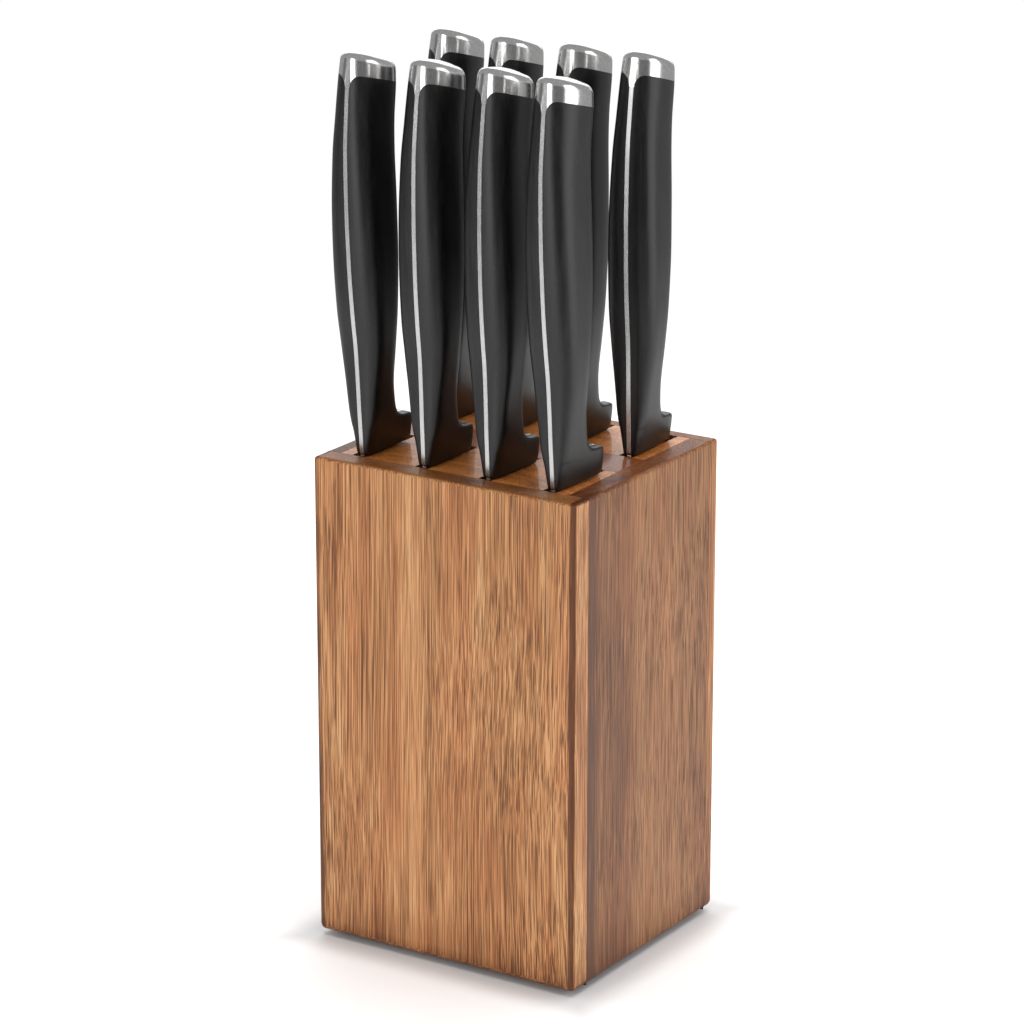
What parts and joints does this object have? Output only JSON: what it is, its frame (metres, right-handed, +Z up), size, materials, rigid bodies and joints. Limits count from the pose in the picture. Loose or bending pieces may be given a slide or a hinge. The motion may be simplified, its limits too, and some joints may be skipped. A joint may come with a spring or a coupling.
{
  "type": "knife block with knives",
  "caption": "Upright laminated wooden knife block holding steak knives in rows of slots; each knife has a black scaled handle, full tang and steel butt cap, and slides out upwards.",
  "frame": {"origin": "centre of the block's footprint, on the surface that its feet stand on", "axes": "+Z up; +X right along the front board; +Y from the front board to the back board"},
  "size_m": [0.09, 0.08, 0.2714],
  "materials": {
    "wood_front": "oiled satin acacia, straight grain",
    "wood_side": "oiled satin acacia, darker board",
    "wood_core": "lacquered acacia end grain",
    "steel_blade": "satin stainless steel",
    "steel_cap": "brushed stainless steel with softened edges",
    "handle_black": "satin black moulded plastic",
    "foot_rubber": "matte black rubber pad"
  },
  "bodies": {
    "block": {"front_board": "wood_front", "back_board": "wood_front", "left_board": "wood_side", "right_board": "wood_side", "bottom_board": "wood_core", "centre_board": "wood_core", "front_spacer_1": "wood_core", "front_spacer_2": "wood_core", "front_spacer_3": "wood_core", "front_spacer_4": "wood_core", "front_spacer_5": "wood_core", "back_spacer_1": "wood_core", "back_spacer_2": "wood_core", "back_spacer_3": "wood_core", "back_spacer_4": "wood_core", "back_spacer_5": "wood_core", "foot_front_left": "foot_rubber", "foot_front_right": "foot_rubber", "foot_back_left": "foot_rubber", "foot_back_right": "foot_rubber"},
    "knife_1": {"blade_1": "steel_blade", "butt_cap_1": "steel_cap", "scale_left_1": "handle_black", "scale_right_1": "handle_black"},
    "knife_2": {"blade_2": "steel_blade", "butt_cap_2": "steel_cap", "scale_left_2": "handle_black", "scale_right_2": "handle_black"},
    "knife_3": {"blade_3": "steel_blade", "butt_cap_3": "steel_cap", "scale_left_3": "handle_black", "scale_right_3": "handle_black"},
    "knife_4": {"blade_4": "steel_blade", "butt_cap_4": "steel_cap", "scale_left_4": "handle_black", "scale_right_4": "handle_black"},
    "knife_5": {"blade_5": "steel_blade", "butt_cap_5": "steel_cap", "scale_left_5": "handle_black", "scale_right_5": "handle_black"},
    "knife_6": {"blade_6": "steel_blade", "butt_cap_6": "steel_cap", "scale_left_6": "handle_black", "scale_right_6": "handle_black"},
    "knife_7": {"blade_7": "steel_blade", "butt_cap_7": "steel_cap", "scale_left_7": "handle_black", "scale_right_7": "handle_black"},
    "knife_8": {"blade_8": "steel_blade", "butt_cap_8": "steel_cap", "scale_left_8": "handle_black", "scale_right_8": "handle_black"}
  },
  "joints": [
    {"name": "knife_1_slide", "type": "slide", "parent": "block", "child": "knife_1", "axis": [0, -0.0349, 0.9994], "range_m": [0, 0.13]},
    {"name": "knife_2_slide", "type": "slide", "parent": "block", "child": "knife_2", "axis": [0.0105, -0.0209, 0.9997], "range_m": [0, 0.13]},
    {"name": "knife_3_slide", "type": "slide", "parent": "block", "child": "knife_3", "axis": [0.0087, -0.014, 0.9999], "range_m": [0, 0.13]},
    {"name": "knife_4_slide", "type": "slide", "parent": "block", "child": "knife_4", "axis": [0, -0.0332, 0.9995], "range_m": [0, 0.13]},
    {"name": "knife_5_slide", "type": "slide", "parent": "block", "child": "knife_5", "axis": [0.0157, -0.0175, 0.9997], "range_m": [0, 0.13]},
    {"name": "knife_6_slide", "type": "slide", "parent": "block", "child": "knife_6", "axis": [0.0105, -0.0209, 0.9997], "range_m": [0, 0.13]},
    {"name": "knife_7_slide", "type": "slide", "parent": "block", "child": "knife_7", "axis": [0.014, -0.0105, 0.9998], "range_m": [0, 0.13]},
    {"name": "knife_8_slide", "type": "slide", "parent": "block", "child": "knife_8", "axis": [0.014, -0.0122, 0.9998], "range_m": [0, 0.13]}
  ]
}
